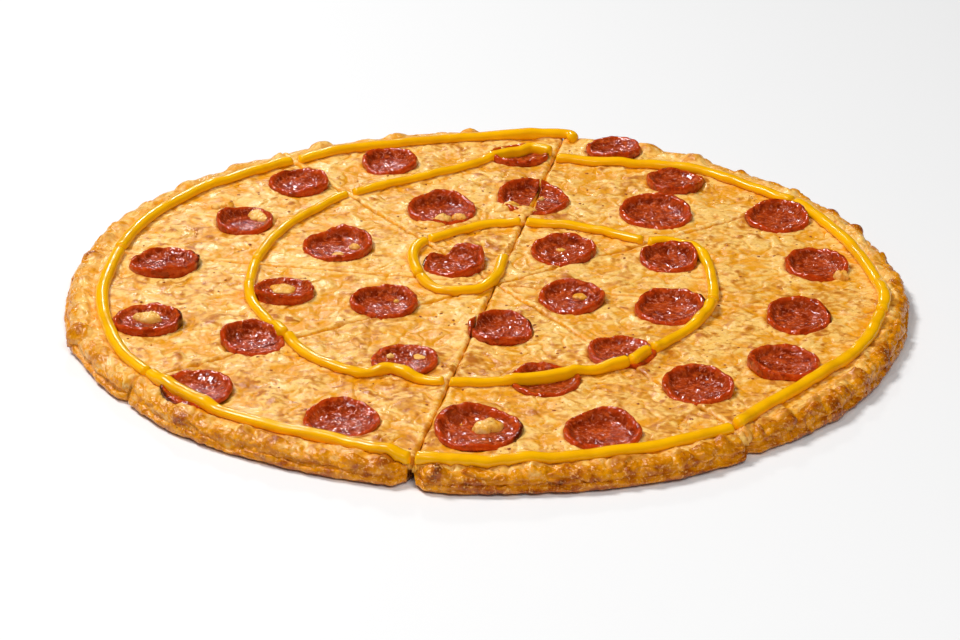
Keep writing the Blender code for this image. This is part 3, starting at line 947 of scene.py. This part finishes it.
class PIZZA_OT_pepperoni(bpy.types.Operator):
    """Lay the cups of pepperoni in the cheese"""

    bl_idname = "pizza.pepperoni"
    bl_label = "Pepperoni"

    def execute(self, context):
        material = pepperoni_material()
        for cup in PEPPERONI:
            mesh = self.cup(cup.number, cup.x, cup.y, cup.radius)
            if len(cup.nodes) == 1:
                mesh.name = f"sausage_{cup.number:02d}"
                add_piece(mesh, material, cup.nodes)
                continue
            for node, side in zip(cup.nodes, (1.0, -1.0)):
                half = self.keep_side(mesh, cup, side)
                half.name = f"sausage_{cup.number:02d}_{node[-1]}"
                add_piece(half, material, [node])
            bpy.data.meshes.remove(mesh)
        return {"FINISHED"}

    def section(self, radius, depth):
        """The cup's section from the middle of its floor out over the rim and back below."""
        r = radius / MM
        d = depth / MM
        return curve_through([
            (0.0, 0.4), (0.35 * r, 0.45), (0.60 * r, 0.75), (r - 4.2, 1.2), (r - 3.1, 0.60 * d),
            (r - 2.2, 0.88 * d), (r - 1.3, d), (r - 0.4, 0.92 * d), (r, 0.66 * d),
            (r - 0.1, 0.33 * d), (r - 0.6, -0.1), (r - 1.8, -0.9), (0.5 * r, -1.0), (0.0, -1.0),
        ], CUP_GRAIN)

    def cup(self, number, x, y, radius):
        """A turned saucer, higher on one side, with a grainy floor and char specks; some have
        painted shade on one side.
        """
        bm = bmesh.new()
        depth = sizes().cup_depth * (PRESSED if number in CROSSED else 1.0)
        line = self.section(radius, depth)
        line[0, 0] = line[-1, 0] = 0.0
        ring = [bm.verts.new((reach, 0.0, height)) for reach, height in line]
        chain = [bm.edges.new((a, b)) for a, b in zip(ring, ring[1:])]
        bmesh.ops.spin(
            bm, geom=ring + chain, cent=(0, 0, 0), axis=(0, 0, 1), angle=math.tau,
            steps=CUP_STEPS, use_merge=True, use_duplicate=False,
        )
        bmesh.ops.remove_doubles(bm, verts=bm.verts[:], dist=1e-7)
        face_outwards(bm)
        mesh = finish_mesh(bm, f"sausage_{number:02d}_whole")

        rng = np.random.default_rng(100 + number)
        phase = rng.uniform(0.0, math.tau, 6)
        points = get_points(mesh)
        px, py, pz = points.T
        share = np.hypot(px, py) / radius
        turn = np.arctan2(py, px)
        seed = 200 + 10 * number
        rim = smooth(0.50, 0.95, share) * smooth(0.2 * MM, 1.6 * MM, pz)
        side, amount = LEAN[number - 1]
        lift = 0.92 + amount * np.cos(turn - math.radians(side))
        lift += 0.10 * np.sin(2 * turn + phase[1]) + 0.07 * np.sin(3 * turn + phase[2])
        lift += 0.16 * noise(px, py, 6 * MM, seed)
        shape = 1.0 + 0.030 * np.sin(2 * turn + phase[3]) + 0.028 * np.sin(3 * turn + phase[4])
        shape += 0.014 * np.sin(5 * turn + phase[5]) + 0.025 * noise(px, py, 4 * MM, seed + 1)
        if number in PINCH:
            pinch, pressed = PINCH[number]
            away = (turn - math.radians(pinch) + math.pi) % math.tau - math.pi
            notch = hill(away, 0.0, 0.30) * pressed
            lift -= 0.7 * notch
            shape -= 0.16 * notch * smooth(0.5, 1.0, share)
        lean = 0.06 * rim * amount * np.cos(turn - math.radians(side))
        points[:, 0] = px * (shape - lean)
        points[:, 1] = py * (shape - lean)
        top = smooth(0.3 * MM, 0.8 * MM, pz)
        wave = waves(px, py, (0.38, 6, seed + 2), (0.28, 2.8, seed + 3), (0.09, 1.3, seed + 4))
        if number in FOLDS:
            dx, dy, round_it, height = FOLDS[number]
            apart = np.hypot(px / MM - dx, 1.2 * (py / MM - dy)) - round_it
            wave += height * (hill(apart, 0.0, 1.0) - 0.4 * smooth(0.0, -2.0, apart))
        points[:, 2] = pz + rim * (lift - 1.0) * depth + top * wave * MM
        around = np.linspace(0, math.tau, 13)
        seat = food_height(x + 0.8 * radius * np.cos(around), y + 0.8 * radius * np.sin(around))
        points += np.array((x, y, 0.5 * (seat.mean() + seat.max()) + 0.1 * MM))
        set_points(mesh, points)
        band = smooth(0.70, 0.88, share)
        paint(mesh, "rim", band * (0.75 + 0.35 * noise(px, py, 5 * MM, seed + 6)))
        # Painted shade: on the listed slices the edge is darkened on one side, mostly the right,
        # away from the key light. The noise along every edge is char.
        shaded_side = 0.0
        if number in SHADED_SIDES:
            shaded_side = (0.5 + 0.5 * np.cos(turn - math.radians(SHADED_SIDES[number]))) ** 8
        edge = smooth(0.80, 1.0, share)
        paint(mesh, "char_and_shade", shaded_side * edge + 0.35 * edge * noise(px, py, 3 * MM, seed + 5))
        return mesh

    def keep_side(self, mesh, cup, side):
        """The part of a cup that lies on one side of a cut, closed there."""
        cut, half_gap, turn = CUT_PEPPERONI[cup.number]
        angle = FIRST_CUT + cut * SLICE_ANGLE
        along = np.array((math.cos(angle), math.sin(angle)))
        middle = CUT_CENTRE + along * np.dot((cup.x, cup.y) - CUT_CENTRE, along)
        middle = Vector((middle[0], middle[1], 0.0))
        angle -= side * math.radians(turn)
        across = Vector((-math.sin(angle), math.cos(angle), 0.0)) * side
        bm = bmesh.new()
        bm.from_mesh(mesh)
        bmesh.ops.triangulate(bm, faces=bm.faces[:])
        cut_away(bm, middle + across * half_gap * MM, across, 1e-6)
        bmesh.ops.holes_fill(bm, edges=[e for e in bm.edges if e.is_boundary], sides=0)
        face_outwards(bm)
        return finish_mesh(bm, mesh.name)


class PIZZA_OT_mustard(bpy.types.Operator):
    """Pipe the bead of mustard and break it at the cuts"""

    bl_idname = "pizza.mustard"
    bl_label = "Mustard"

    def execute(self, context):
        material = mustard_material()
        for piece, points in MUSTARD.items():
            route = curve_through(points, BEAD_STEP)
            share = BEAD_SHARE.get(piece, 1.0)
            bm = bmesh.new()
            for run in self.lengths(route):
                self.bead(bm, route[run], share)
            face_outwards(bm)
            mesh = finish_mesh(bm, f"mustard_{piece}_bead")
            add_piece(mesh, material, [f"mustard_{piece}"])
        return {"FINISHED"}

    def lengths(self, route):
        """Runs of the route that lie on one slice each, a little short of the cuts."""
        number = slice_numbers(route[:, 0], route[:, 1])
        reach = np.hypot(*(route - CUT_CENTRE).T)
        runs = []
        first = 0
        for step in range(FIRST_BREAK + 1, len(route) - LAST_BREAK):
            if number[step] != number[step - 1] and reach[step] > UNBROKEN_REACH:
                if step - first > SHORTEST_LENGTH:
                    runs.append(slice(first, step))
                first = step + 1
        runs.append(slice(first, len(route)))
        return runs

    def heading(self, route):
        ahead = np.gradient(route, axis=0)
        return ahead / np.linalg.norm(ahead, axis=1)[:, None]

    def bed(self, route):
        """Height of what the bead lies on, along its route."""
        ahead = self.heading(route)
        across = np.column_stack((-ahead[:, 1], ahead[:, 0]))
        rows = []
        for share in (-0.35, 0.0, 0.35):
            spot = route + across * share * sizes().bead_width
            height = food_height(spot[:, 0], spot[:, 1])
            for cup in PEPPERONI:
                apart = np.hypot(spot[:, 0] - cup.x, spot[:, 1] - cup.y)
                height = height + 0.5 * sizes().cup_depth * (apart < cup.radius)
            rows.append(height)
        height = np.max(rows, axis=0)
        reach = max(1, round(2.0 * MM / BEAD_STEP))
        padded = np.pad(height, reach, mode="edge")
        height = np.max([padded[k:k + len(height)] for k in range(2 * reach + 1)], axis=0)
        weights = np.hanning(6 * reach + 1)
        padded = np.pad(height, 3 * reach, mode="edge")
        return np.convolve(padded, weights / weights.sum(), mode="valid")

    def bead(self, bm, route, share):
        """One unbroken length: a ring of points drawn along the route, round at its ends."""
        bed = self.bed(route)[:, None]
        ahead = self.heading(route)
        walked = np.arange(len(route)) * BEAD_STEP
        from_end = np.minimum(walked, walked[-1] - walked)
        taper = np.sqrt(np.clip(1 - (1 - from_end / BEAD_NOSE).clip(0) ** 2, 0.03, 1))[:, None]
        x, y = route[:, :1], route[:, 1:]
        wide = sizes().bead_width * share * taper
        wide = wide * (1 + waves(x, y, (0.07, 14, 61), (0.04, 5, 62)))
        tall = sizes().bead_height * share * taper * (1 + 0.06 * noise(x, y, 12 * MM, 63))
        turn = np.linspace(0.0, math.tau, BEAD_SIDES, endpoint=False)
        side = np.sign(np.cos(turn)) * np.abs(np.cos(turn)) ** 0.8
        upper = np.sin(turn).clip(0.0)
        lower = np.sin(turn).clip(None, 0.0)
        rise = 0.38 + 0.62 * upper**0.9 + 0.38 * lower
        across = side * wide / 2
        ring_x = x - ahead[:, 1:] * across
        ring_y = y + ahead[:, :1] * across
        ring_z = bed - 0.5 * MM + rise * tall
        ground = food_height(ring_x.ravel(), ring_y.ravel()).reshape(ring_x.shape) - 0.3 * MM
        sag = np.maximum(ring_z - rise * tall - ground, 0.0)
        ring_z -= sag * smooth(0.75, 0.0, rise)
        rings = np.stack((ring_x, ring_y, ring_z), axis=2)
        ring = bmesh.ops.create_circle(
            bm, cap_ends=True, segments=BEAD_SIDES, radius=MM)["verts"]
        edges = list(ring[0].link_faces[0].edges)
        for vert, spot in zip(ring, rings[0]):
            vert.co = spot
        for spots in rings[1:]:
            made = bmesh.ops.extrude_edge_only(bm, edges=edges)
            fresh = set(only(BMVert, made["geom"]))
            edges = [edge for edge in only(BMEdge, made["geom"]) if fresh.issuperset(edge.verts)]
            ring = [next(e.other_vert(v) for e in v.link_edges if e.other_vert(v) in fresh)
                    for v in ring]
            for vert, spot in zip(ring, spots):
                vert.co = spot
        bmesh.ops.holes_fill(bm, edges=edges, sides=0)


class PIZZA_OT_bits(bpy.types.Operator):
    """Drop blobs of cheese on the sausage and toasted specks on the cheese"""

    bl_idname = "pizza.bits"
    bl_label = "Blobs and specks"

    def execute(self, context):
        self.blobs()
        self.specks()
        return {"FINISHED"}

    def blobs(self):
        cups = {cup.number: cup for cup in PEPPERONI}
        bm = bmesh.new()
        for count, (number, dx, dy, radius, height) in enumerate(CHEESE_BLOBS):
            made = bmesh.ops.create_icosphere(bm, subdivisions=5, radius=1.0)
            x = cups[number].x + dx * MM
            y = cups[number].y + dy * MM
            bed = food_height(np.array([x]), np.array([y]))[0] + 0.7 * MM
            spots = np.array([vert.co for vert in made["verts"]])
            around = np.arctan2(spots[:, 1], spots[:, 0])
            wide = 1.0 + 0.28 * noise(np.cos(around), np.sin(around), 0.9, 300 + count)
            lump = 1.0 + 0.24 * noise(spots[:, 0], spots[:, 1], 0.7, 340 + count)
            lump += 0.14 * noise(spots[:, 0], spots[:, 1], 0.3, 380 + count)
            spots *= np.column_stack((wide * radius, 0.8 * wide * radius, lump * height)) * MM
            for vert, spot in zip(made["verts"], spots):
                vert.co = spot + np.array((x, y, bed))
        mesh = finish_mesh(bm, "cheese_blobs")
        points = get_points(mesh)
        paint(mesh, "toast", 0.45 * noise(points[:, 0], points[:, 1], 2.5 * MM, 71) - 0.05)
        add_piece(mesh, bpy.data.materials["melted_cheese"])

    def specks(self):
        rng = np.random.default_rng(9)
        x, y = scattered(rng, SPECK_REACH, sizes().crumbs)
        bm = bmesh.new()
        for spot in zip(x, y, food_height(x, y)):
            size = rng.uniform(0.3, 0.8) * MM
            turn = Matrix.Rotation(rng.uniform(0.0, math.tau), 4, "Z")
            shape = Matrix.Diagonal((size * rng.uniform(0.8, 1.7), size, 0.30 * size, 1.0))
            place = Matrix.Translation(spot) @ turn @ shape
            bmesh.ops.create_icosphere(bm, subdivisions=1, radius=1.0, matrix=place)
        add_piece(finish_mesh(bm, "toasted_specks"), speck_material())


class PIZZA_OT_stage(bpy.types.Operator):
    """Set the pale floor, the soft lights and the camera"""

    bl_idname = "pizza.stage"
    bl_label = "Stage"

    def execute(self, context):
        scene = context.scene
        scene.view_settings.view_transform = "Standard"
        self.floor()
        scene.world = self.room()
        for name in LIGHTS:
            self.light(name, *LIGHTS[name]).visible_glossy = name != "fill"
        self.camera(scene)
        return {"FINISHED"}

    def room(self):
        """A pale room that gives a little light and doesn't show in the wet surfaces."""
        world = bpy.data.worlds.new("studio")
        world.use_nodes = True
        world.cycles_visibility.glossy = False
        tree = world.node_tree
        seen = tree.nodes.new("ShaderNodeLightPath").outputs["Is Camera Ray"]
        background = tree.nodes["Background"]
        background.inputs["Color"].default_value = (1, 1, 1, 1)
        strength = between(tree, seen, 0.0, 1.0, ROOM_SEEN, ROOM_LIGHT)
        tree.links.new(strength, background.inputs["Strength"])
        return world

    def floor(self):
        bm = bmesh.new()
        bmesh.ops.create_grid(bm, x_segments=1, y_segments=1, size=FLOOR_SIZE)
        bmesh.ops.translate(bm, vec=(0, 0, -0.2 * MM), verts=bm.verts[:])
        mesh = finish_mesh(bm, "floor")
        made = Finish("pale_floor", FLOOR_COLOUR, 0.6)
        made.shader.inputs["Base Color"].default_value = made.colour
        mesh.materials.append(made.material)
        floor = bpy.data.objects.new("floor", mesh)
        bpy.context.scene.collection.objects.link(floor)

    def light(self, name, place, size, power):
        lamp = bpy.data.lights.new(name, "AREA")
        lamp.size = size
        lamp.energy = power
        made = bpy.data.objects.new(name, lamp)
        made.location = place
        made.rotation_euler = (-Vector(place)).to_track_quat("-Z", "Y").to_euler()
        bpy.context.scene.collection.objects.link(made)
        return made

    def camera(self, scene):
        """Looks down on the front of the pizza from a long way off."""
        lens = bpy.data.cameras.new("camera")
        lens.lens = FOCAL_LENGTH
        lens.sensor_width = 36.0
        lens.clip_start = 0.05
        made = bpy.data.objects.new("camera", lens)
        place = Matrix.Translation(Vector(CAMERA_TARGET) * MM)
        for degrees, axis in CAMERA_TURNS:
            place @= Matrix.Rotation(math.radians(degrees), 4, axis)
        made.matrix_world = place @ Matrix.Translation((0, 0, CAMERA_DISTANCE))
        scene.collection.objects.link(made)
        scene.camera = made


class PIZZA_PT_panel(bpy.types.Panel):
    bl_idname = "PIZZA_PT_panel"
    bl_label = "Pizza"
    bl_space_type = "VIEW_3D"
    bl_region_type = "UI"
    bl_category = "Pizza"

    def draw(self, context):
        for settings in (context.scene.pizza_sizes, context.scene.pizza_colours):
            box = self.layout.box()
            for name in settings.__annotations__:
                box.prop(settings, name)
        for operator in OPERATORS:
            self.layout.operator(operator.bl_idname)


OPERATORS = (
    PIZZA_OT_crust, PIZZA_OT_cheese, PIZZA_OT_pepperoni, PIZZA_OT_mustard, PIZZA_OT_bits,
    PIZZA_OT_stage,
)
CLASSES = (PizzaSizes, PizzaColours) + OPERATORS + (PIZZA_PT_panel,)


def register():
    for made in CLASSES:
        bpy.utils.register_class(made)
    bpy.types.Scene.pizza_sizes = bpy.props.PointerProperty(type=PizzaSizes)
    bpy.types.Scene.pizza_colours = bpy.props.PointerProperty(type=PizzaColours)


def unregister():
    del bpy.types.Scene.pizza_colours
    del bpy.types.Scene.pizza_sizes
    for made in reversed(CLASSES):
        bpy.utils.unregister_class(made)


def main():
    register()
    for name in ("crust", "cheese", "pepperoni", "mustard", "bits", "stage"):
        getattr(bpy.ops.pizza, name)()


if __name__ == "__main__":
    main()
